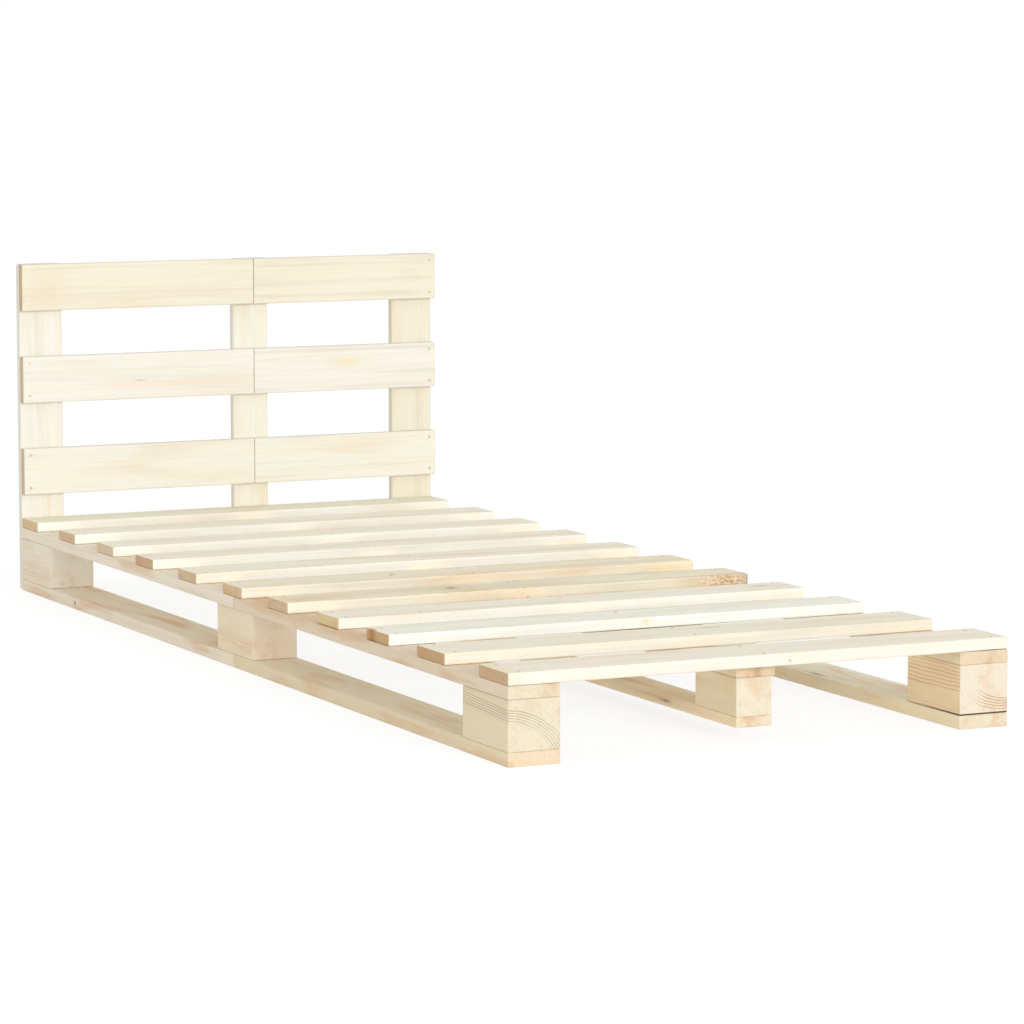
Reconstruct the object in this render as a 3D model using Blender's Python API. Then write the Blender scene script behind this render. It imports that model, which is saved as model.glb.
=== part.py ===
"""A single bed built like a pallet, in planed, unfinished pine.

Eleven slats lie across three lengthways runs and are screwed to them. The two slats nearest the foot are
wider than the rest, and the last of them is also a little thicker. A run has a top runner, three blocks and a
bottom runner, and each runner is two half-length boards that butt at the middle block. The outer runs stand
on the floor. The centre run is slimmer, hangs clear of the floor and stops short of the foot end. Three posts
stand behind the head end, bolted to the head blocks, and carry three rows of rails. Each row is two boards
that butt on the centre post. A rail is screwed from the front at its outer end, and from behind through the
centre post.

Metres, +Z up. +Y points to the headboard, and +X to the right of someone who stands at the foot and faces
it. The origin is on the floor, under the middle of the whole bed.
"""
import math
from typing import NamedTuple

import bmesh
import bpy
from mathutils import Matrix, Vector

# Sizes of the whole bed
BED_WIDTH = 0.800
BASE_LENGTH = 2.000
HEADBOARD_HEIGHT = 0.580

# Clearance left between two pieces that touch, and the open line of a butt joint
SEAT_GAP = 0.0003
BUTT_GAP = 0.0006

# Slats, and where each lies between the foot slat (0) and the head slat (1)
SLAT_WIDTH = 0.082
SLAT_THICKNESS = 0.017
SLAT_PLACE_SHARES = (1.0, 0.900, 0.802, 0.705, 0.604, 0.503, 0.406, 0.309, 0.213, 0.108, 0.0)
FOOT_SLAT_THICKNESS = 0.018

# Slats, counted from the head, that are wider than the rest
WIDE_SLATS = (10, 11)
WIDE_SLAT_WIDTH = 0.096

# Slats, counted from the head, that are cut short at their left end
SHORT_SLATS = (8, 9)
SHORT_SLAT_CUT = 0.004

# Outer runs, from the floor up
RUN_WIDTH = 0.080
BOTTOM_RUNNER_THICKNESS = 0.020
BLOCK_LENGTH = 0.147
BLOCK_HEIGHT = 0.0730
MIDDLE_BLOCK_WIDTH = 0.075
TOP_RUNNER_THICKNESS = 0.0187

# Centre run: a slimmer one, which hangs clear of the floor and stops short of the foot end
CENTRE_RUN_WIDTH = 0.062
CENTRE_RUN_SHIFT = 0.005
CENTRE_RUN_SETBACK = 0.036
CENTRE_BLOCK_WIDTH = 0.057
CENTRE_BLOCK_LENGTH = 0.123
CENTRE_BLOCK_HEIGHT = 0.0560
CENTRE_BOTTOM_THICKNESS = 0.015

# Headboard posts and rails
POST_WIDTH = 0.080
POST_THICKNESS = 0.018
CENTRE_POST_WIDTH = 0.068
CENTRE_POST_LAP = 0.025
RAIL_WIDTH = 0.082
RAIL_THICKNESS = 0.017
RAIL_DECK_SPACE = 0.0423

# Slats and posts have round corners in their outline, and an arris round each face
SLAT_CORNER = 0.003
SLAT_ARRIS = 0.002
POST_CORNER = 0.005
POST_ARRIS = 0.004

# Rails and runners have planed long arrises and sawn ends, and a block has every edge eased alike
RAIL_ARRIS = 0.002
RUNNER_ARRIS = 0.0011
SAWN_ARRIS = 0.0007
BLOCK_ARRIS = 0.0011
ARRIS_STEPS = 2

# Screw seats: a countersink over a shank hole
SCREW_HEAD_RADIUS = 0.0030
SCREW_SHANK_RADIUS = 0.0017
SCREW_SEAT_DEPTH = 0.0022
SCREW_EDGE_INSET = 0.013
SLAT_SCREW_INSET = 0.022
RAIL_SCREW_INSET = 0.012
RUNNER_SCREW_SHARE = 0.5
SCREW_SIDES = 8

# Headboard bolts: a socket head in a counterbore in the post's back
BOLT_HEAD_RADIUS = 0.0065
BOLT_HEAD_HEIGHT = 0.0050
BOLT_HEAD_SUNK = 0.0015
BOLT_SHANK_RADIUS = 0.0030
BOLT_LENGTH = 0.060
BOLT_EDGE = 0.0006
BOLT_SOCKET_RADIUS = 0.0029
BOLT_SOCKET_DEPTH = 0.0030
BOLT_HEAD_CLEARANCE = 0.0006
BOLT_SPREAD_SHARE = 0.5
BOLT_SIDES = 16
SOCKET_SIDES = 6

# How far a cutter runs past what it cuts
OVERRUN = 0.002
SMOOTH_ANGLE = math.radians(40)

# Heights of the layers
BLOCK_BASE = BOTTOM_RUNNER_THICKNESS + SEAT_GAP
BLOCK_TOP = BLOCK_BASE + BLOCK_HEIGHT
TOP_RUNNER_BASE = BLOCK_TOP + SEAT_GAP
SLAT_BASE = TOP_RUNNER_BASE + TOP_RUNNER_THICKNESS + SEAT_GAP
SLAT_TOP = SLAT_BASE + SLAT_THICKNESS
CENTRE_BLOCK_BASE = BLOCK_TOP - CENTRE_BLOCK_HEIGHT
CENTRE_BOTTOM_BASE = CENTRE_BLOCK_BASE - SEAT_GAP - CENTRE_BOTTOM_THICKNESS
TOP_RAIL_BASE = HEADBOARD_HEIGHT - RAIL_WIDTH
LOW_RAIL_BASE = SLAT_TOP + RAIL_DECK_SPACE
RAIL_ROWS = (("top", TOP_RAIL_BASE), ("middle", (TOP_RAIL_BASE + LOW_RAIL_BASE) / 2), ("low", LOW_RAIL_BASE))

# Places along the bed
WHOLE_LENGTH = BASE_LENGTH + SEAT_GAP + POST_THICKNESS
FOOT_END = -WHOLE_LENGTH / 2
HEAD_END = FOOT_END + BASE_LENGTH
BASE_MIDDLE = FOOT_END + BASE_LENGTH / 2
POST_FRONT = HEAD_END + SEAT_GAP
POST_BACK = POST_FRONT + POST_THICKNESS
RAIL_BACK = POST_FRONT - SEAT_GAP

# Places across the bed
OUTER_RUN_OFFSET = (BED_WIDTH - RUN_WIDTH) / 2
CENTRE_RUN_LEFT = CENTRE_RUN_SHIFT - CENTRE_RUN_WIDTH / 2
CENTRE_BLOCK_X = CENTRE_RUN_LEFT + CENTRE_BLOCK_WIDTH / 2
CENTRE_BLOCK_RIGHT = CENTRE_RUN_LEFT + CENTRE_BLOCK_WIDTH
OUTER_POST_OFFSET = (BED_WIDTH - POST_WIDTH) / 2
CENTRE_POST_X = CENTRE_BLOCK_RIGHT - CENTRE_POST_LAP + CENTRE_POST_WIDTH / 2
CENTRE_BOLT_X = CENTRE_BLOCK_RIGHT - CENTRE_POST_LAP / 2

# Bolt and bore sizes that follow from the pieces
COUNTERBORE_DEPTH = BOLT_HEAD_HEIGHT + BOLT_HEAD_SUNK + SEAT_GAP
BORE_RADIUS = BOLT_SHANK_RADIUS + SEAT_GAP
BOLT_SEAT = POST_BACK - COUNTERBORE_DEPTH + SEAT_GAP
BORE_DEPTH = BOLT_LENGTH - (BOLT_SEAT - HEAD_END) + SEAT_GAP

# Colour of each kind of board: red, green, blue
SLAT_COLOUR = (0.86, 0.75, 0.56)
RAIL_COLOUR = (0.90, 0.80, 0.61)
POST_COLOUR = (0.88, 0.78, 0.58)
RUNNER_COLOUR = (0.74, 0.58, 0.40)
BLOCK_COLOUR = (0.78, 0.62, 0.43)
STEEL_COLOUR = (0.56, 0.57, 0.58)
WOOD_ROUGHNESS = 0.62
STEEL_ROUGHNESS = 0.38
TONE_SHARES = (1.0, 0.96, 1.03, 0.98, 0.94, 1.01, 0.92, 1.02, 0.97, 1.0, 0.99)

# Turns of a board that is modelled along X with its screwed face up
ALONG_X = Matrix.Identity(3)
ALONG_Y = Matrix(((0, -1, 0), (1, 0, 0), (0, 0, 1)))
ALONG_Y_FACE_DOWN = Matrix(((0, 1, 0), (1, 0, 0), (0, 0, -1)))
ON_EDGE_FACING_FOOT = Matrix(((1, 0, 0), (0, 0, -1), (0, 1, 0)))
ON_END_FACING_HEAD = Matrix(((0, 1, 0), (0, 0, 1), (1, 0, 0)))

# A turn of a bolt that is modelled along Z with its head up
BOLT_FACING_HEAD = Matrix.Rotation(-math.pi / 2, 3, "X")


class Run(NamedTuple):
    """The sizes and places of one lengthways run."""
    side: str
    centre_x: float
    foot_end: float
    top_width: float
    width: float
    middle_width: float
    block_x: float
    block_length: float
    block_height: float
    block_base: float
    bottom_thickness: float
    bottom_base: float
    bolt_x: float
    tone: int

    def block_middle(self):
        return self.block_base + self.block_height / 2

    def bolt_heights(self):
        """The heights of the lower and the upper bolt in the head block."""
        spread = BOLT_SPREAD_SHARE * self.block_height / 2
        return self.block_middle() - spread, self.block_middle() + spread


def clear_scene():
    """Remove what the scene holds."""
    for item in list(bpy.data.objects):
        bpy.data.objects.remove(item, do_unlink=True)
    for mesh in list(bpy.data.meshes):
        bpy.data.meshes.remove(mesh)


def mesh_of(shape, name):
    """Turn a finished bmesh into a mesh, with its faces pointing out."""
    bmesh.ops.recalc_face_normals(shape, faces=shape.faces)
    mesh = bpy.data.meshes.new(name)
    shape.to_mesh(mesh)
    shape.free()
    return mesh


def cuboid(size):
    """A box of the given size about the origin."""
    shape = bmesh.new()
    bmesh.ops.create_cube(shape, size=1)
    bmesh.ops.scale(shape, vec=size, verts=shape.verts)
    return shape


def eased(shape, edges, radius):
    """Round some edges of a shape."""
    bmesh.ops.bevel(shape, geom=edges, offset=radius, offset_type="OFFSET", segments=ARRIS_STEPS,
                    profile=0.5, affect="EDGES", clamp_overlap=True)


def runs_through(edge):
    """Whether an edge runs through a board's thickness."""
    run = edge.verts[1].co - edge.verts[0].co
    return abs(run.z) > abs(run.x) + abs(run.y)


def runs_along(edge):
    """Whether an edge runs along a board's length."""
    run = edge.verts[1].co - edge.verts[0].co
    return abs(run.x) > abs(run.y) + abs(run.z)


def rounded_board(name, length, width, thickness, corner, arris):
    """A board along X, with round corners and then an arris round each face."""
    shape = cuboid(Vector((length, width, thickness)))
    eased(shape, [edge for edge in shape.edges if runs_through(edge)], corner)
    eased(shape, [edge for edge in shape.edges if not runs_through(edge)], arris)
    return mesh_of(shape, name)


def sawn_board(name, length, width, thickness, arris):
    """A board along X, with an arris along each long edge and then barely eased ends."""
    shape = cuboid(Vector((length, width, thickness)))
    eased(shape, [edge for edge in shape.edges if runs_along(edge)], arris)
    eased(shape, [edge for edge in shape.edges if not runs_along(edge)], SAWN_ARRIS)
    return mesh_of(shape, name)


def block_mesh(name, width, length, height):
    """A sawn block with every edge eased."""
    shape = cuboid(Vector((width, length, height)))
    eased(shape, list(shape.edges), BLOCK_ARRIS)
    return mesh_of(shape, name)


def add_turned(shape, profile, sides, place):
    """Add a solid of revolution to a bmesh, from (radius, height) points, top to bottom."""
    rings = []
    for radius, height in profile:
        ring = []
        for step in range(sides):
            angle = 2 * math.pi * step / sides
            point = Vector((radius * math.cos(angle), radius * math.sin(angle), height))
            ring.append(shape.verts.new(place @ point))
        rings.append(ring)
    for upper, lower in zip(rings, rings[1:]):
        for step in range(sides):
            after = (step + 1) % sides
            shape.faces.new((upper[step], lower[step], lower[after], upper[after]))
    shape.faces.new(rings[0])
    shape.faces.new(list(reversed(rings[-1])))


def add_screw_seats(shape, spots, thickness):
    """Add cutters for countersunk holes at (x, y) spots, through a board whose face is up."""
    profile = (
        (SCREW_HEAD_RADIUS, OVERRUN),
        (SCREW_HEAD_RADIUS, 0),
        (SCREW_SHANK_RADIUS, -SCREW_SEAT_DEPTH),
        (SCREW_SHANK_RADIUS, -thickness - OVERRUN),
    )
    for along, across in spots:
        add_turned(shape, profile, SCREW_SIDES, Matrix.Translation((along, across, thickness / 2)))


def carved(mesh, cutter_mesh):
    """The first mesh with the second cut out of it."""
    blank = bpy.data.objects.new("blank", mesh)
    cutter = bpy.data.objects.new("cutter", cutter_mesh)
    cutter.hide_render = True
    cutter.display_type = "WIRE"
    for item in (blank, cutter):
        bpy.context.scene.collection.objects.link(item)
    cut = blank.modifiers.new("cut", "BOOLEAN")
    cut.operation = "DIFFERENCE"
    cut.solver = "EXACT"
    cut.object = cutter
    bpy.context.view_layer.update()
    graph = bpy.context.evaluated_depsgraph_get()
    result = bpy.data.meshes.new_from_object(blank.evaluated_get(graph))
    result.name = mesh.name
    for item in (blank, cutter):
        bpy.data.objects.remove(item)
    bpy.data.meshes.remove(cutter_mesh)
    return result


def screwed(board, spots, thickness):
    """A board with countersunk screw holes cut through its upper face."""
    seats = bmesh.new()
    add_screw_seats(seats, spots, thickness)
    return carved(board, mesh_of(seats, board.name + "_seats"))


def principled(name, colour, roughness, metallic):
    """A material of one colour."""
    material = bpy.data.materials.new(name)
    material.use_nodes = True
    shader = material.node_tree.nodes["Principled BSDF"]
    shader.inputs["Base Color"].default_value = (*colour, 1.0)
    shader.inputs["Roughness"].default_value = roughness
    shader.inputs["Metallic"].default_value = metallic
    return material


def toned(colour, index):
    """One board's own shade of a colour."""
    share = TONE_SHARES[index % len(TONE_SHARES)]
    return tuple(min(1.0, channel * share) for channel in colour)


def group(name):
    """An empty that carries the pieces of one sub-assembly."""
    holder = bpy.data.objects.new(name, None)
    bpy.context.scene.collection.objects.link(holder)
    return holder


def put(name, mesh, turn, place, holder, colour, metallic=0.0):
    """Place one piece, with its own material, under its group."""
    piece = bpy.data.objects.new(name, mesh)
    bpy.context.scene.collection.objects.link(piece)
    piece.location = place
    piece.rotation_euler = turn.to_euler()
    piece.parent = holder
    if not mesh.materials:
        mesh.materials.append(None)
    roughness = STEEL_ROUGHNESS if metallic else WOOD_ROUGHNESS
    piece.material_slots[0].link = "OBJECT"
    piece.material_slots[0].material = principled(name + "_finish", colour, roughness, metallic)
    mesh.shade_smooth()
    mesh.set_sharp_from_angle(angle=SMOOTH_ANGLE)
    return piece


def slat_mesh(width, thickness, cut):
    """A slat with two screws over each run, and with some length cut off its left end."""
    across = width / 2 - SCREW_EDGE_INSET
    outer = BED_WIDTH / 2 - SLAT_SCREW_INSET
    spots = [(x - cut / 2, y) for x in (-outer, CENTRE_RUN_SHIFT, outer) for y in (-across, across)]
    board = rounded_board("slat", BED_WIDTH - cut, width, thickness, SLAT_CORNER, SLAT_ARRIS)
    return screwed(board, spots, thickness)


def make_slats():
    """The deck: slats laid along the runs, the last of them the foot slat."""
    deck = group("deck")
    reach = BASE_LENGTH - SLAT_WIDTH
    for index, share in enumerate(SLAT_PLACE_SHARES):
        number = index + 1
        width = WIDE_SLAT_WIDTH if number in WIDE_SLATS else SLAT_WIDTH
        thickness = FOOT_SLAT_THICKNESS if number == len(SLAT_PLACE_SHARES) else SLAT_THICKNESS
        cut = SHORT_SLAT_CUT if number in SHORT_SLATS else 0
        slat = slat_mesh(width, thickness, cut)
        place = Vector((cut / 2, FOOT_END + width / 2 + reach * share, SLAT_BASE + thickness / 2))
        put(f"slat_{number:02d}", slat, ALONG_X, place, deck, toned(SLAT_COLOUR, index))


def half_boards(foot_end):
    """The middle and the length of the two half boards of a runner: foot half, then head half."""
    butt = BUTT_GAP / 2
    for half, start, end in (("foot", foot_end, BASE_MIDDLE - butt), ("head", BASE_MIDDLE + butt, HEAD_END)):
        yield half, (start + end) / 2, end - start


def bottom_spots(length, block_length, width, half):
    """Where the screws enter a bottom half board: over its end block and its part of the middle block."""
    toward_end = -1 if half == "foot" else 1
    at_end = toward_end * (length / 2 - block_length / 2)
    at_butt = -toward_end * (length / 2 - (block_length - BUTT_GAP) / 4)
    side = RUNNER_SCREW_SHARE * width / 2
    return [(along, across) for along in (at_end, at_butt) for across in (-side, side)]


def make_run(run):
    """One run: two top boards, three blocks and two bottom boards."""
    holder = group(f"{run.side}_run")
    for order, (half, middle, length) in enumerate(half_boards(run.foot_end)):
        top = sawn_board("top_runner", length, run.top_width, TOP_RUNNER_THICKNESS, RUNNER_ARRIS)
        place = Vector((run.centre_x, middle, TOP_RUNNER_BASE + TOP_RUNNER_THICKNESS / 2))
        colour = toned(RUNNER_COLOUR, run.tone + order)
        put(f"top_runner_{run.side}_{half}", top, ALONG_Y, place, holder, colour)
        spots = bottom_spots(length, run.block_length, run.width, half)
        board = sawn_board("bottom_runner", length, run.width, run.bottom_thickness, RUNNER_ARRIS)
        bottom = screwed(board, spots, run.bottom_thickness)
        place = Vector((run.block_x, middle, run.bottom_base + run.bottom_thickness / 2))
        colour = toned(RUNNER_COLOUR, run.tone + order + 1)
        put(f"bottom_runner_{run.side}_{half}", bottom, ALONG_Y_FACE_DOWN, place, holder, colour)
    half_block = run.block_length / 2
    stations = (("foot", run.foot_end + half_block), ("middle", BASE_MIDDLE), ("head", HEAD_END - half_block))
    for order, (station, y) in enumerate(stations):
        width = run.middle_width if station == "middle" else run.width
        block = block_mesh("block", width, run.block_length, run.block_height)
        if station == "head":
            block = carved(block, bolt_bores(run))
        place = Vector((run.block_x, y, run.block_middle()))
        colour = toned(BLOCK_COLOUR, run.tone + order)
        put(f"block_{run.side}_{station}", block, ALONG_X, place, holder, colour)


def bolt_bores(run):
    """Cutters for the two bores in a head block's end, about the block's own middle."""
    shape = bmesh.new()
    profile = ((BORE_RADIUS, OVERRUN), (BORE_RADIUS, -BORE_DEPTH))
    for height in run.bolt_heights():
        spot = Vector((run.bolt_x - run.block_x, run.block_length / 2, height - run.block_middle()))
        add_turned(shape, profile, BOLT_SIDES, Matrix.Translation(spot) @ BOLT_FACING_HEAD.to_4x4())
    return mesh_of(shape, "bolt_bores")


def post_mesh(width, x, run, screw_spots):
    """A post lying along X with its back up, cut for screws and for the bolts into its run's head block."""
    board = rounded_board("post", HEADBOARD_HEIGHT, width, POST_THICKNESS, POST_CORNER, POST_ARRIS)
    shape = bmesh.new()
    add_screw_seats(shape, screw_spots, POST_THICKNESS)
    pocket = BOLT_HEAD_RADIUS + BOLT_HEAD_CLEARANCE
    profile = (
        (pocket, OVERRUN),
        (pocket, -COUNTERBORE_DEPTH),
        (BORE_RADIUS, -COUNTERBORE_DEPTH),
        (BORE_RADIUS, -POST_THICKNESS - OVERRUN),
    )
    for height in run.bolt_heights():
        spot = Vector((height - HEADBOARD_HEIGHT / 2, run.bolt_x - x, POST_THICKNESS / 2))
        add_turned(shape, profile, BOLT_SIDES, Matrix.Translation(spot))
    return carved(board, mesh_of(shape, "post_bores"))


def bolt_mesh():
    """A socket-head bolt along Z, with its head's underside at the origin."""
    shape = bmesh.new()
    profile = (
        (BOLT_HEAD_RADIUS - BOLT_EDGE, BOLT_HEAD_HEIGHT),
        (BOLT_HEAD_RADIUS, BOLT_HEAD_HEIGHT - BOLT_EDGE),
        (BOLT_HEAD_RADIUS, 0),
        (BOLT_SHANK_RADIUS, 0),
        (BOLT_SHANK_RADIUS, BOLT_EDGE - BOLT_LENGTH),
        (BOLT_SHANK_RADIUS - BOLT_EDGE, -BOLT_LENGTH),
    )
    add_turned(shape, profile, BOLT_SIDES, Matrix.Identity(4))
    socket = bmesh.new()
    depth = ((BOLT_SOCKET_RADIUS, BOLT_HEAD_HEIGHT + OVERRUN),
             (BOLT_SOCKET_RADIUS, BOLT_HEAD_HEIGHT - BOLT_SOCKET_DEPTH))
    add_turned(socket, depth, SOCKET_SIDES, Matrix.Identity(4))
    return carved(mesh_of(shape, "bolt"), mesh_of(socket, "bolt_socket"))


def joint_spots():
    """Where screws enter the centre post's back, halfway across its lap of each rail."""
    aside = CENTRE_POST_WIDTH / 4
    for _, base in RAIL_ROWS:
        for height in (base + RAIL_SCREW_INSET, base + RAIL_WIDTH - RAIL_SCREW_INSET):
            for across in (-aside, aside):
                yield height - HEADBOARD_HEIGHT / 2, across


def make_posts(runs):
    """The three posts and the bolts that hold them to the head blocks."""
    holder = group("headboard_posts")
    bolt = bolt_mesh()
    posts = (
        (-OUTER_POST_OFFSET, POST_WIDTH, []),
        (CENTRE_POST_X, CENTRE_POST_WIDTH, list(joint_spots())),
        (OUTER_POST_OFFSET, POST_WIDTH, []),
    )
    for index, (run, (x, width, screw_spots)) in enumerate(zip(runs, posts)):
        post = post_mesh(width, x, run, screw_spots)
        place = Vector((x, POST_FRONT + POST_THICKNESS / 2, HEADBOARD_HEIGHT / 2))
        put(f"post_{run.side}", post, ON_END_FACING_HEAD, place, holder, toned(POST_COLOUR, index))
        for level, height in zip(("lower", "upper"), run.bolt_heights()):
            place = Vector((run.bolt_x, BOLT_SEAT, height))
            put(f"bolt_{run.side}_{level}", bolt, BOLT_FACING_HEAD, place, holder, STEEL_COLOUR, metallic=1.0)


def make_rails():
    """Three rows of rails, each of two boards that butt on the centre post."""
    holder = group("headboard_rails")
    half_width = BED_WIDTH / 2
    butt = BUTT_GAP / 2
    spans = (("left", -half_width, CENTRE_POST_X - butt, -1), ("right", CENTRE_POST_X + butt, half_width, 1))
    across = RAIL_WIDTH / 2 - RAIL_SCREW_INSET
    for order, (side, start, end, outward) in enumerate(spans):
        outer = outward * ((end - start) / 2 - RAIL_SCREW_INSET)
        spots = [(outer, -across), (outer, across)]
        board = sawn_board("rail", end - start, RAIL_WIDTH, RAIL_THICKNESS, RAIL_ARRIS)
        rail = screwed(board, spots, RAIL_THICKNESS)
        for level, (row, base) in enumerate(RAIL_ROWS):
            place = Vector(((start + end) / 2, RAIL_BACK - RAIL_THICKNESS / 2, base + RAIL_WIDTH / 2))
            colour = toned(RAIL_COLOUR, len(spans) * level + order)
            put(f"rail_{row}_{side}", rail, ON_EDGE_FACING_FOOT, place, holder, colour)


def outer_run(side, centre_x, tone):
    """An outer run, which stands on the floor."""
    return Run(
        side=side,
        centre_x=centre_x,
        foot_end=FOOT_END,
        top_width=RUN_WIDTH,
        width=RUN_WIDTH,
        middle_width=MIDDLE_BLOCK_WIDTH,
        block_x=centre_x,
        block_length=BLOCK_LENGTH,
        block_height=BLOCK_HEIGHT,
        block_base=BLOCK_BASE,
        bottom_thickness=BOTTOM_RUNNER_THICKNESS,
        bottom_base=0,
        bolt_x=centre_x,
        tone=tone,
    )


def centre_run(tone):
    """The centre run, whose blocks are flush with the left edge of its top boards."""
    return Run(
        side="centre",
        centre_x=CENTRE_RUN_SHIFT,
        foot_end=FOOT_END + CENTRE_RUN_SETBACK,
        top_width=CENTRE_RUN_WIDTH,
        width=CENTRE_BLOCK_WIDTH,
        middle_width=CENTRE_BLOCK_WIDTH,
        block_x=CENTRE_BLOCK_X,
        block_length=CENTRE_BLOCK_LENGTH,
        block_height=CENTRE_BLOCK_HEIGHT,
        block_base=CENTRE_BLOCK_BASE,
        bottom_thickness=CENTRE_BOTTOM_THICKNESS,
        bottom_base=CENTRE_BOTTOM_BASE,
        bolt_x=CENTRE_BOLT_X,
        tone=tone,
    )


def main():
    clear_scene()
    runs = (
        outer_run("left", -OUTER_RUN_OFFSET, tone=0),
        centre_run(tone=3),
        outer_run("right", OUTER_RUN_OFFSET, tone=6),
    )
    make_slats()
    for run in runs:
        make_run(run)
    make_posts(runs)
    make_rails()


main()
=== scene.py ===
"""Finishes, screws and stage for a bed built like a pallet, in planed, unfinished pine."""
import math
import random
from typing import NamedTuple

import bpy
from bpy.props import FloatProperty, FloatVectorProperty, IntProperty, PointerProperty
from mathutils import Matrix, Vector


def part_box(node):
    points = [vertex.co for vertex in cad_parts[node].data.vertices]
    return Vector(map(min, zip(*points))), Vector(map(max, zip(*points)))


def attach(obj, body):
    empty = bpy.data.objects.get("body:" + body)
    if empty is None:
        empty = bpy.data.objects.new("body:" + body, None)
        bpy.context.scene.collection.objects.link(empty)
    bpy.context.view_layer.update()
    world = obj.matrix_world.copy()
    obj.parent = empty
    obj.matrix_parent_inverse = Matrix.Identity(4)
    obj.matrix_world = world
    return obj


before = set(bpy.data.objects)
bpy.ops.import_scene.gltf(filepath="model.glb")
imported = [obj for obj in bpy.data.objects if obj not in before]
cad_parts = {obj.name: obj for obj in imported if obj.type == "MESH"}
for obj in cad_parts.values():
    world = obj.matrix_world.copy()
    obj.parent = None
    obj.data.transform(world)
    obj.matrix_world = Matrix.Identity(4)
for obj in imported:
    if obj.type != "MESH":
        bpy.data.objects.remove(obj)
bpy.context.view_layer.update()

bl_info = {
    "name": "Pallet bed finishes",
    "version": (1, 0, 0),
    "blender": (4, 5, 0),
    "location": "View3D > Sidebar > Pallet bed",
    "description": "Pine finishes, screws and a stage for a bed built like a pallet",
    "category": "Object",
}

BODY = "root"


def from_srgb(red, green, blue):
    """A colour on the screen's 0 to 255 scale as the linear values that a shader takes."""
    shares = (channel / 255 for channel in (red, green, blue))
    return tuple(s / 12.92 if s <= 0.04045 else ((s + 0.055) / 1.055) ** 2.4 for s in shares)


def colour_property(name, description, red, green, blue):
    """A colour that a user would change, given on the screen's 0 to 255 scale."""
    return FloatVectorProperty(name=name, description=description, subtype="COLOR", size=3,
                               default=from_srgb(red, green, blue))


def length_property(name, description, default):
    """A length that a user would change, in metres."""
    return FloatProperty(name=name, description=description, subtype="DISTANCE", default=default)


# Sizes and colours that a user would change

class PineLook(bpy.types.PropertyGroup):
    """Colours and grain of the wood."""
    pale: colour_property("Pale wood", "Spring wood of a planed face", 247, 242, 229)
    late: colour_property("Summer wood", "The darker line of each growth ring", 222, 186, 132)
    warm: colour_property("Warm bands", "Broad yellowish bands along a board", 246, 232, 200)
    cool: colour_property("Cool bands", "Broad greyish bands along a board", 226, 216, 199)
    amber: colour_property("Amber", "Resin-soaked wood round a knot", 232, 178, 104)
    rust: colour_property("Rust", "Brown of a stripe or a branch", 186, 128, 82)
    blush: colour_property("Blush", "Pinkish heartwood", 238, 196, 158)
    blotch: colour_property("Blotch", "Reddish patches of a runner", 226, 180, 140)
    olive: colour_property("Olive", "Greenish grey patches beside a knot", 196, 186, 132)
    heart: colour_property("Knot", "Heart of a knot", 168, 132, 96)
    rim: colour_property("Knot rim", "Dark ring round a knot", 116, 92, 70)
    # Dark brown: painted shade in the seams and in one gap between slats, and also the dark ring lines of
    # one block and a dark mark on one slat
    shade: colour_property("Open seam", "Shade in a seam that stands open", 92, 62, 40)
    ring_spacing: length_property("Ring spacing", "Width of one growth ring", 0.0032)
    roughness: FloatProperty(name="Roughness", description="Roughness of planed pine", subtype="FACTOR",
                             default=0.58)


class ScrewSizes(bpy.types.PropertyGroup):
    """The countersunk screws and where they stand in the boards."""
    head_radius: length_property("Head radius", "Radius of the head", 0.0028)
    head_height: length_property("Head height", "Height of the cone under the head", 0.0018)
    shank_radius: length_property("Shank radius", "Radius of the shank", 0.0014)
    shank_length: length_property("Shank length", "Shank from head to point", 0.0260)
    short_length: length_property("Short shank length", "Shank of a screw that only a slat holds", 0.0110)
    point_length: length_property("Point length", "Length of the point", 0.0040)
    sunk: length_property("Sunk", "How far a head lies below the face", 0.0003)
    recess_width: length_property("Recess width", "Width of each slot of the cross", 0.0009)
    recess_length: length_property("Recess length", "Length of each slot of the cross", 0.0034)
    recess_depth: length_property("Recess depth", "Depth of the cross", 0.0010)
    edge_inset: length_property("Slat edge inset", "From a slat's long edge", 0.013)
    slat_inset: length_property("Slat end inset", "From a slat's end", 0.022)
    rail_inset: length_property("Rail inset", "From a rail's end and long edge", 0.012)
    sides: IntProperty(name="Sides", description="Facets round a screw", default=20)


class SteelLook(bpy.types.PropertyGroup):
    """Colours of the zinc on the screws and bolts."""
    dull: colour_property("Dull zinc", "Zinc of the slats' and runners' screws", 130, 117, 94)
    clear: colour_property("Clear zinc", "Zinc of the rails' screws", 204, 192, 166)
    bolt: colour_property("Bolt zinc", "Zinc of the headboard's bolts", 176, 178, 180)


class StageLook(bpy.types.PropertyGroup):
    """Floor, light and camera."""
    floor: colour_property("Floor", "Colour of the floor", 246, 246, 245)
    sky: FloatProperty(name="Sky", description="Strength of the even studio light", default=0.78)
    lamp: FloatProperty(name="Front lamp", description="Strength of the soft front lamp", subtype="POWER",
                        default=1400.0)
    fill: FloatProperty(name="Low lamp", description="Strength of the low lamp that reaches under the deck",
                        subtype="POWER", default=100.0)
    shadow: FloatProperty(name="Floor shadow", description="Share of the shadow that the floor keeps",
                          subtype="FACTOR", default=0.20)
    lens: FloatProperty(name="Lens", description="Focal length of the camera", subtype="DISTANCE_CAMERA",
                        default=152.48)


# Shader maths as Python expressions

# Octaves of a smooth, a usual and a fine noise
SMOOTH, USUAL, FINE = 1.0, 2.0, 3.0

# Rays by which something is seen, straight or in metal or glass
RAYS_SEEN = ("Is Camera Ray", "Is Glossy Ray", "Is Transmission Ray")


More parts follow.
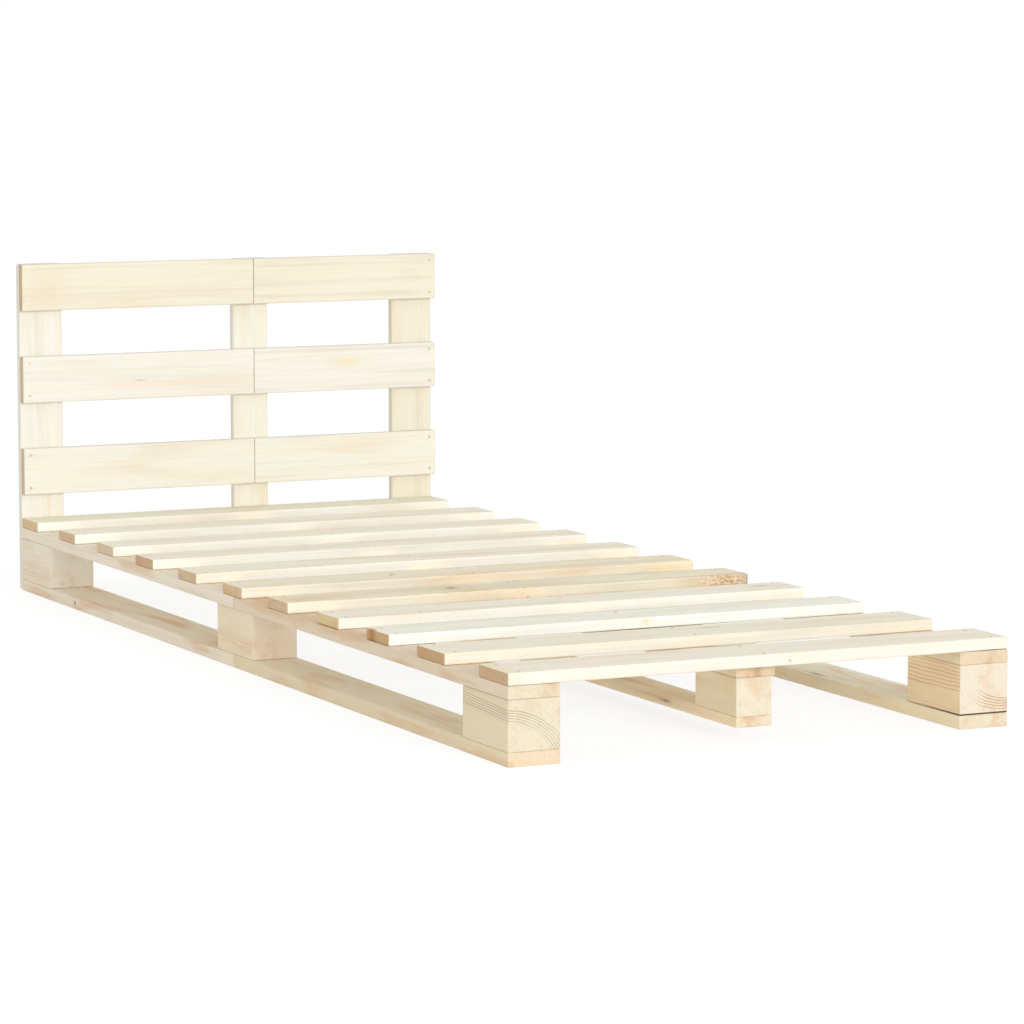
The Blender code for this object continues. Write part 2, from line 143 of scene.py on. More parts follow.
class Wire:
    """An output socket that takes part in expressions."""

    def __init__(self, nodes, socket):
        self.nodes = nodes
        self.socket = socket

    def maths(self, operation, *values):
        return self.nodes.node("ShaderNodeMath", {"operation": operation}, dict(enumerate(values)))

    def __add__(self, other):
        return self.maths("ADD", self, other)

    def __sub__(self, other):
        return self.maths("SUBTRACT", self, other)

    def __rsub__(self, other):
        return self.maths("SUBTRACT", other, self)

    def __mul__(self, other):
        return self.maths("MULTIPLY", self, other)

    def __truediv__(self, other):
        return self.maths("DIVIDE", self, other)

    def __neg__(self):
        return self.maths("MULTIPLY", self, -1)

    __radd__ = __add__
    __rmul__ = __mul__

    def fraction(self):
        return self.maths("FRACT", self)

    def absolute(self):
        return self.maths("ABSOLUTE", self)

    def root(self):
        return self.maths("SQRT", self)

    def bell(self):
        """1 where the value is 0, falling to 0 on either side."""
        return self.maths("EXPONENT", -(self * self))

    def larger(self, other):
        return self.maths("MAXIMUM", self, other)

    def rise(self, low, high):
        """0 below low, 1 above high, and a smooth step between them."""
        sockets = {"Value": self, "From Min": low, "From Max": high}
        return self.nodes.node("ShaderNodeMapRange", {"interpolation_type": "SMOOTHSTEP"}, sockets)

    def least(self, low):
        """A mask squeezed between a least value and 1."""
        return self * (1 - low) + low


class Nodes:
    """A node tree that expressions add their nodes to."""

    def __init__(self, tree):
        self.tree = tree

    def node(self, kind, settings, sockets, output=0):
        """Add a node with its settings, then its sockets' values or links, and give its output."""
        made = self.tree.nodes.new(kind)
        for key, value in settings.items():
            setattr(made, key, value)
        for key, value in sockets.items():
            self.feed(self.pick(made.inputs, key), value)
        return Wire(self, self.pick(made.outputs, output))

    @staticmethod
    def pick(sockets, key):
        if isinstance(key, int):
            return sockets[key]
        return next(s for s in sockets if key in (s.identifier, s.name))

    def feed(self, socket, value):
        if isinstance(value, Wire):
            self.tree.links.new(value.socket, socket)
        else:
            socket.default_value = value

    def seen_by_eye(self):
        """1 for rays from the camera, and for those that metal or glass sends on."""
        eye, glossy, glass = (self.node("ShaderNodeLightPath", {}, {}, ray) for ray in RAYS_SEEN)
        return eye.larger(glossy).larger(glass)


class Finish(Nodes):
    """A material whose Principled shader is fed by expressions."""

    def __init__(self, name):
        self.material = bpy.data.materials.new(name)
        self.material.use_nodes = True
        super().__init__(self.material.node_tree)
        self.shader = self.tree.nodes["Principled BSDF"]

    def shade(self, **sockets):
        """Feed the Principled shader; an underscore stands for a space."""
        for key, value in sockets.items():
            self.feed(self.shader.inputs[key.replace("_", " ")], value)

    def vector(self, x, y, z):
        return self.node("ShaderNodeCombineXYZ", {}, {"X": x, "Y": y, "Z": z})

    def noise(self, x, y, z, detail=USUAL):
        """Noise about 0, from -1 to 1, of a place that is scaled to its grain."""
        sockets = {"Vector": self.vector(x, y, z), "Scale": 1.0, "Detail": detail}
        return (self.node("ShaderNodeTexNoise", {"noise_dimensions": "3D"}, sockets, "Fac") - 0.5) * 2

    def blend(self, share, first, second, mode="MIX"):
        """Mix two colours."""
        settings = {"data_type": "RGBA", "blend_type": mode, "clamp_factor": True}
        sockets = {"Factor_Float": share, "A_Color": full(first), "B_Color": full(second)}
        return self.node("ShaderNodeMix", settings, sockets, "Result_Color")

    def tint(self, colour, strength):
        """A colour times a number that varies over the surface."""
        return self.blend(1.0, colour, self.vector(strength, strength, strength), "MULTIPLY")

    def coordinates(self):
        """The place on the object, as three numbers."""
        place = self.node("ShaderNodeTexCoord", {}, {}, "Object")
        return [self.node("ShaderNodeSeparateXYZ", {}, {"Vector": place}, axis) for axis in "XYZ"]

    def facing(self, axis):
        """How squarely the surface faces along an axis, from 0 to 1."""
        normal = self.node("ShaderNodeTexCoord", {}, {}, "Normal")
        return self.node("ShaderNodeSeparateXYZ", {}, {"Vector": normal}, axis).absolute()

    def bump(self, height):
        """A relief of that height in metres."""
        return self.node("ShaderNodeBump", {}, {"Height": height, "Distance": 1.0, "Strength": 1.0})


def full(colour):
    """A colour with its alpha, or a wire as it is."""
    return colour if isinstance(colour, Wire) else (*colour, 1.0)


# Pine, cut from the tree as a solid with growth rings

class Knot(NamedTuple):
    """A branch in a board, at a place from the board's middle."""
    along: float
    aside: float
    radius: float
    dark: float = 1.0
    swirl: float = 0.003
    span: float = 0.030
    on_edge: bool = False


def flame(along, aside, dark, swirl, span):
    """Wild, resinous grain on a board's near edge, over a branch that stays below the surface."""
    return Knot(along, aside, 0, dark, swirl, span, on_edge=True)


class Stain(NamedTuple):
    """A soft patch of another colour, drawn out along the grain."""
    along: float
    aside: float
    length: float
    width: float
    colour: str
    share: float
    on_edge: bool = False
    broken: float = 0.0


class Stripes(NamedTuple):
    """Fine lines along a board's sides, between two heights from its middle."""
    low: float
    high: float
    spacing: float
    share: float


class SeamShade(NamedTuple):
    """Painted shade: a dark line along a board's lower edge, where it stands off what it lies on."""
    along: float
    length: float
    height: float
    share: float


class Cut(NamedTuple):
    """How one board was sawn: where its pith lies, how its rings show, and its own colours, with painted
    light and shade on its faces, on some of its ends and along its lower edge.
    """
    pith: tuple
    lean: tuple
    spacing: float
    rings: float
    tone: tuple
    face_painted_light: tuple
    end_tone: tuple
    warmth: float
    coolness: float
    blotches: float
    rings_below: float = None
    line: str = "late"
    line_start: float = 0.30
    band: tuple = ()
    knots: tuple = ()
    stains: tuple = ()
    stripes: tuple = ()
    seam_shades: tuple = ()


# The axis along each kind of board, across its face and through its thickness
GRAIN_AXES = {"slat": "XYZ", "rail": "XZY", "post": "ZXY", "top": "YXZ", "bottom": "YXZ", "block": "YXZ"}

# Colours of whole boards, as shares of the pale wood's red, green and blue
TONES = {
    "chalk": (0.985, 1.05, 1.12),
    "cream": (0.975, 0.995, 1.02),
    "shell": (0.87, 0.855, 0.86),
    "ecru": (0.90, 0.90, 0.87),
    "honey": (0.935, 0.93, 0.875),
    "ivory": (0.868, 0.88, 0.895),
    "straw": (0.865, 0.88, 0.87),
    "linen": (0.84, 0.83, 0.77),
    "sand": (0.93, 0.88, 0.80),
    "wheat": (1.05, 0.95, 0.775),
    "buff": (0.93, 0.83, 0.66),
    "biscuit": (0.87, 0.79, 0.63),
    "shrimp": (0.945, 0.87, 0.735),
    "rosy": (0.85, 0.75, 0.645),
    "ginger": (1.06, 0.93, 0.73),
    "amber": (1.00, 0.835, 0.63),
}
USUAL_TONES = {"slat": "cream", "rail": "ivory", "post": "linen", "top": "buff", "bottom": "buff",
               "block": "buff"}

# Colours of sawn ends, as shares of their board's own: tan to bark are the darker end grain; bright is
# painted light on ends that lie in shade under the deck, and dull and dim are painted shade on foot ends
# that the front lamp lights strongly
END_TONES = {
    "bright": (1.12, 1.20, 1.34),
    "dull": (0.87, 0.89, 0.96),
    "dim": (0.80, 0.77, 0.78),
    "tan": (0.81, 0.66, 0.50),
    "khaki": (0.77, 0.62, 0.40),
    "hazel": (0.75, 0.58, 0.42),
    "fawn": (0.80, 0.67, 0.56),
    "camel": (0.82, 0.67, 0.41),
    "russet": (0.70, 0.485, 0.31),
    "bark": (0.68, 0.44, 0.245),
}
USUAL_ENDS = {"slat": ("tan", "khaki", "hazel"), "rail": ("tan",), "post": ("dull",), "top": ("dim",),
              "bottom": ("dull",), "block": ("dull",)}

# Painted light on the wide planed faces, as shares of their board's own colour: lighter or darker for how
# the light falls on them
FACE_PAINTED_LIGHT = {"usual": (1.0, 1.0, 1.0), "slat": (1.0, 0.975, 0.90), "bottom": (1.10, 1.18, 1.30)}

# How strongly each kind of board shows its rings
RING_SHARES = {"slat": 0.26, "rail": 0.20, "post": 0.22, "top": 0.30, "bottom": 0.34, "block": 0.40}

# How strongly reddish blotches show on each kind of board
BLOTCH_SHARES = {"slat": 0.12, "rail": 0.04, "post": 0.04, "top": 0.42, "bottom": 0.55, "block": 0.18}

# Lengths over which the wood changes, in metres: along the grain, then across it
SWAY_SPAN = (0.45, 0.10)
RIPPLE_SPAN = (0.13, 0.022)
BAND_SPAN = (1.10, 0.011)
PATCH_SPAN = (0.16, 0.030)
FADE_SPAN = (0.25, 0.040)
FIBRE_SPAN = (0.070, 0.0011)
FLECK_SPAN = (0.011, 0.0009)
WOBBLE_SPAN = (0.012, 0.006)
DRIFT_SPAN = (0.30, 0.045)
MOTTLE_SPAN = (0.006, 0.0035)
BLOTCH_SPAN = (0.11, 0.016)
STREAK_SPAN = (0.40, 0.0045)
WAVE_SPAN = (0.060, 0.045)

# Length across the rings over which dark and faint years change, in metres
YEARS_SPAN = 0.011

# How far in from the near edge a mark on that edge starts to fade and is gone, in metres
EDGE_DEPTH = (0.006, 0.020)

# How far the rings bend along a board and the stripes wave, in metres
SWAY_HEIGHT = 0.009
RIPPLE_HEIGHT = 0.0013
WAVE_HEIGHT = 0.0030

# Widths over which a band of rings, the rings below a height, and a board's edge set in, in metres
BAND_SOFTNESS = 0.003
RINGS_END = 0.020
EDGE_WIDTH = 0.0035

# Values of the noise between which a mask rises from 0 to 1
WARM_STEP = (-0.1, 0.8)
COOL_STEP = (-0.05, 0.7)
BLUSH_STEP = (0.1, 0.7)
BLOTCH_STEP = (0.0, 0.6)
FLECK_STEP = (0.45, 0.75)
FADE_STEP = (-0.5, 0.5)
YEARS_STEP = (-0.25, 0.35)
BROKEN_STEP = (-0.25, 0.25)

# Shares of one noise in the mask of another
PATCHES_IN_WARM = 0.6
PATCHES_IN_COOL = 0.7
BANDS_IN_BLUSH = 0.4
BLUSH_SHARE = 0.5

# How squarely a surface faces along an axis, from not at all that side to fully
FACING_STEP = (0.5, 0.9)

# Parts of the width of a ring, and of a stripe, where its dark line is full, sets in and ends
RING_FULL = 0.88
RING_END = (0.90, 1.0)
STRIPE_START = (0.4, 0.85)
STRIPE_END = (0.88, 1.0)

# What is left of the rings where they fade, in a faint year, and outside a band
FADE_FLOOR = 0.3
YEARS_FLOOR = 0.2
BAND_FLOOR = 0.05

# How much stronger the rings are on a sawn end
END_RING_GAIN = 1.3

# Distances from a knot's middle, in its radii, over which its heart ends and its rim sets in and ends
HEART_END = (0.6, 1.1)
RIM_START = (0.6, 1.0)
RIM_END = (1.0, 1.5)

# Weights of the squared distance along the grain for a knot, and across it for the swirl round one
KNOT_ALONG = 0.5
SWIRL_ACROSS = 4

# How far the wobble moves a knot's edge, in its radii, a stain's, in its sizes, and a stripe, in metres
KNOT_WOBBLE = 0.25
STAIN_WOBBLE = 0.35
STRIPE_WOBBLE = 0.0006

# How much the fine grain and the edges change the colour
FIBRE_SHADE = 0.030
FLECK_SHADE = 0.06
STREAK_SHADE = 0.045
MOTTLE_SHADE = 0.08
EDGE_SHADE = 0.02
EDGE_WOBBLE = 0.04

# How much rougher the fibres and the sawn ends are, how much a plane's finish shines, and relief in metres
FIBRE_ROUGHNESS = 0.06
END_ROUGHNESS = 0.10
PINE_SHINE = 0.2
RING_RELIEF = 0.00007
FIBRE_RELIEF = 0.00004


class Board(Finish):
    """The pine of one board, solid through its thickness, so that rings run on round its edges."""

    def __init__(self, node, cut, look, start):
        super().__init__(node + "_pine")
        self.cut = cut
        self.look = look
        self.start = start
        self.is_block = node.startswith("block")
        low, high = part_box(node)
        axes = GRAIN_AXES[node.split("_")[0]]
        places = dict(zip("XYZ", (p - m for p, m in zip(self.coordinates(), (low + high) / 2))))
        halves = dict(zip("XYZ", (high - low) / 2))
        self.places = [places[axis] for axis in axes]
        self.halves = [halves[axis] for axis in axes]
        self.along, self.aside, self.through = self.places
        self.end, self.side, self.face = (self.facing(axis).rise(*FACING_STEP) for axis in axes)
        near, gone = (depth - self.halves[1] for depth in EDGE_DEPTH)
        self.near_edge = 1 - self.aside.rise(near, gone)
        self.wobble = self.grain_noise(WOBBLE_SPAN)
        self.fade = self.grain_noise(FADE_SPAN).rise(*FADE_STEP).least(FADE_FLOOR)

    def grain_noise(self, span, detail=USUAL):
        """Noise that is drawn out along the grain."""
        length, width = span
        x = self.along / length + self.start
        y = self.aside / width + self.start
        return self.noise(x, y, self.through / width, detail)

    def across(self, mark):
        """How far a place lies from a mark across the grain, on the face or on the edge."""
        return (self.through if mark.on_edge else self.aside) - mark.aside

    def reach_from_pith(self):
        """How far a place lies from the pith of a tree that grew with some sway."""
        pith, lean = self.cut.pith, self.cut.lean
        sideways = self.aside - pith[0] - self.along * lean[0]
        upward = self.through - pith[1] - self.along * lean[1]
        sway = self.grain_noise(SWAY_SPAN, SMOOTH) * SWAY_HEIGHT
        ripple = self.grain_noise(RIPPLE_SPAN) * RIPPLE_HEIGHT
        return (sideways * sideways + upward * upward).root() + sway + ripple

    def lay_knots(self, reach):
        """Bend the rings round each knot, and give the masks of all hearts, rims and flames."""
        hearts, rims, flames = 0.0, 0.0, 0.0
        for knot in self.cut.knots:
            off_along, off_across = self.along - knot.along, self.across(knot)
            depth = self.near_edge if knot.on_edge else 1.0
            far_along, far_across = off_along / knot.span, off_across / knot.span
            wide = (far_along * far_along + far_across * far_across * SWIRL_ACROSS).root().bell() * depth
            reach = reach + wide * knot.swirl
            if knot.radius:
                apart = (off_along * off_along * KNOT_ALONG + off_across * off_across).root()
                near = apart / knot.radius + self.wobble * KNOT_WOBBLE
                ring = near.rise(*RIM_START) * (1 - near.rise(*RIM_END))
                hearts = larger_mask(hearts, (1 - near.rise(*HEART_END)) * depth * knot.dark)
                rims = larger_mask(rims, ring * depth * knot.dark)
            else:
                flames = larger_mask(flames, wide * knot.dark)
        return reach, hearts, rims, flames

    def ring_lines(self, reach):
        """The dark line of each ring, and how strongly it shows."""
        cut = self.cut
        turn = (reach / cut.spacing).fraction()
        late = turn.rise(cut.line_start, RING_FULL) * (1 - turn.rise(*RING_END))
        if cut.band:
            inner, outer = cut.band
            years = reach.rise(inner - BAND_SOFTNESS, inner) * (1 - reach.rise(outer, outer + BAND_SOFTNESS))
            years = years.least(BAND_FLOOR)
        else:
            years = self.noise(reach / YEARS_SPAN + self.start, 0.0, 0.0, SMOOTH)
            years = years.rise(*YEARS_STEP).least(YEARS_FLOOR)
        strength = late * years * self.fade * cut.rings
        if not self.is_block:
            strength = strength * (1 + self.end * END_RING_GAIN)
        if cut.rings_below is not None:
            strength = strength * (1 - self.through.rise(cut.rings_below, cut.rings_below + RINGS_END))
        return late, strength

    def ground(self):
        """The colour between the rings, with its broad bands and blotches."""
        cut, look = self.cut, self.look
        bands = self.grain_noise(BAND_SPAN, SMOOTH)
        patches = self.grain_noise(PATCH_SPAN)
        drift = self.grain_noise(DRIFT_SPAN, SMOOTH)
        warm = (bands + patches * PATCHES_IN_WARM).rise(*WARM_STEP) * cut.warmth
        cool = (patches * PATCHES_IN_COOL - bands).rise(*COOL_STEP) * cut.coolness
        blush = (drift + bands * BANDS_IN_BLUSH).rise(*BLUSH_STEP) * cut.warmth * BLUSH_SHARE
        blotch = (self.grain_noise(BLOTCH_SPAN) + drift).rise(*BLOTCH_STEP) * cut.blotches
        colour = self.blend(warm, look.pale, look.warm)
        colour = self.blend(cool, colour, look.cool)
        colour = self.blend(blush, colour, look.blush)
        return self.blend(blotch, colour, look.blotch)

    def stained(self, colour):
        """The colour with the board's soft stains."""
        for stain in self.cut.stains:
            off_along = (self.along - stain.along) / stain.length
            off_across = self.across(stain) / stain.width
            apart = (off_along * off_along + off_across * off_across).root() + self.wobble * STAIN_WOBBLE
            mask = apart.bell() * stain.share
            if stain.on_edge:
                mask = mask * self.near_edge
            if stain.broken:
                mask = mask * (1 - self.grain_noise(MOTTLE_SPAN).rise(*BROKEN_STEP) * stain.broken)
            colour = self.blend(mask, colour, getattr(self.look, stain.colour))
        return colour

    def striped(self, colour):
        """The colour with the fine lines along the board's sides."""
        for stripe in self.cut.stripes:
            height = self.through + self.wobble * STRIPE_WOBBLE + self.grain_noise(WAVE_SPAN) * WAVE_HEIGHT
            turn = (height / stripe.spacing).fraction()
            line = turn.rise(*STRIPE_START) * (1 - turn.rise(*STRIPE_END))
            within = height.rise(stripe.low - BAND_SOFTNESS, stripe.low)
            within = within * (1 - height.rise(stripe.high, stripe.high + BAND_SOFTNESS))
            mask = line * within * self.side * self.fade * stripe.share
            colour = self.blend(mask, colour, self.look.rust)
        return colour

    def toned(self, colour):
        """The colour times the board's own tone, then times the painted light of its wide faces, and the
        tone of its ends, which is partly end grain and partly painted light.
        """
        colour = self.blend(1.0, colour, self.cut.tone, "MULTIPLY")
        for mask, tone in ((self.face, self.cut.face_painted_light), (self.end, self.cut.end_tone)):
            colour = self.blend(mask, colour, self.blend(1.0, colour, tone, "MULTIPLY"))
        return colour

    def seam_shaded(self, colour):
        """The colour with painted shade along the lower edge, where the board stands off what it lies on."""
        for seam in self.cut.seam_shades:
            foot = 1 - (self.through + self.halves[2]).rise(seam.height / 2, seam.height)
            mask = foot * ((self.along - seam.along) / seam.length).bell() * seam.share
            colour = self.blend(mask, colour, self.look.shade)
        return colour

    def edges(self):
        """1 along the board's edges, where two of its sides meet."""
        first, second, third = (place.absolute().rise(half - EDGE_WIDTH, half)
                                for place, half in zip(self.places, self.halves))
        return (first * second).larger(second * third).larger(first * third)

    def make(self):
        """Feed the shader from all of these, and give the material."""
        reach, hearts, rims, flames = self.lay_knots(self.reach_from_pith())
        late, strength = self.ring_lines(reach)
        line = getattr(self.look, self.cut.line)
        if isinstance(flames, Wire):
            line = self.blend(flames, line, self.look.amber)
            strength = strength * (1 + flames)
        colour = self.blend(strength, self.stained(self.ground()), line)
        colour = self.striped(colour)
        if isinstance(hearts, Wire):
            colour = self.blend(hearts, colour, self.look.heart)
            colour = self.blend(rims, colour, self.look.rim)
        colour = self.seam_shaded(self.toned(colour))

        fibre = self.grain_noise(FIBRE_SPAN, FINE)
        fleck = self.grain_noise(FLECK_SPAN).rise(*FLECK_STEP)
        streaks = self.grain_noise(STREAK_SPAN) * STREAK_SHADE
        mottle = self.grain_noise(MOTTLE_SPAN) * self.end * MOTTLE_SHADE
        worn = self.edges() * (EDGE_SHADE + EDGE_WOBBLE * self.wobble)
        grain = 1 + fibre * FIBRE_SHADE + streaks + mottle - fleck * FLECK_SHADE - worn
        self.shade(Base_Color=self.tint(colour, grain),
                   Roughness=self.look.roughness + fibre * FIBRE_ROUGHNESS + self.end * END_ROUGHNESS,
                   Normal=self.bump(fibre * FIBRE_RELIEF + late * RING_RELIEF),
                   Specular_IOR_Level=PINE_SHINE)
        return self.material


def larger_mask(first, second):
    """The larger of two masks, of which the first may still be the number 0."""
    return second.larger(first) if isinstance(first, Wire) else second


# How boards of a kind differ: the pith from a board's middle, in metres, and its lean along the board
BLOCK_PITH = 0.05
BLOCK_LEAN = 0.06
BOARD_PITH_ASIDE = 0.03
BOARD_PITH_AWAY = (0.035, 0.10)
BOARD_LEAN = 0.02

# How boards of a kind differ, as shares
SPACING_RANGE = (0.8, 1.3)
VALUE_RANGE = (0.985, 1.0)
RINGS_RANGE = (0.6, 1.0)
WARMTH_RANGE = (0.2, 0.5)
COOLNESS_RANGE = (0.3, 0.6)

# Where a board's noise may start, in spans
START_RANGE = (0, 90)


def random_cut(node, look):
    """A board sawn as boards of its kind are, by its name."""
    dice = random.Random(node)
    kind = node.split("_")[0]
    if kind == "block":
        pith = (dice.uniform(-BLOCK_PITH, BLOCK_PITH), dice.uniform(-BLOCK_PITH, BLOCK_PITH))
        slant = BLOCK_LEAN
    else:
        aside = dice.uniform(-BOARD_PITH_ASIDE, BOARD_PITH_ASIDE)
        pith = (aside, dice.choice((-1, 1)) * dice.uniform(*BOARD_PITH_AWAY))
        slant = BOARD_LEAN
    lean = (dice.uniform(-slant, slant), dice.uniform(-slant, slant))
    spacing = look.ring_spacing * dice.uniform(*SPACING_RANGE)
    value = dice.uniform(*VALUE_RANGE)
    tone = tuple(share * value for share in TONES[USUAL_TONES[kind]])
    face_painted_light = FACE_PAINTED_LIGHT.get(kind, FACE_PAINTED_LIGHT["usual"])
    end_tone = END_TONES[dice.choice(USUAL_ENDS[kind])]
    rings = dice.uniform(*RINGS_RANGE) * RING_SHARES[kind]
    warmth, coolness = dice.uniform(*WARMTH_RANGE), dice.uniform(*COOLNESS_RANGE)
    return Cut(pith, lean, spacing, rings, tone, face_painted_light, end_tone, warmth, coolness, BLOTCH_SHARES[kind])


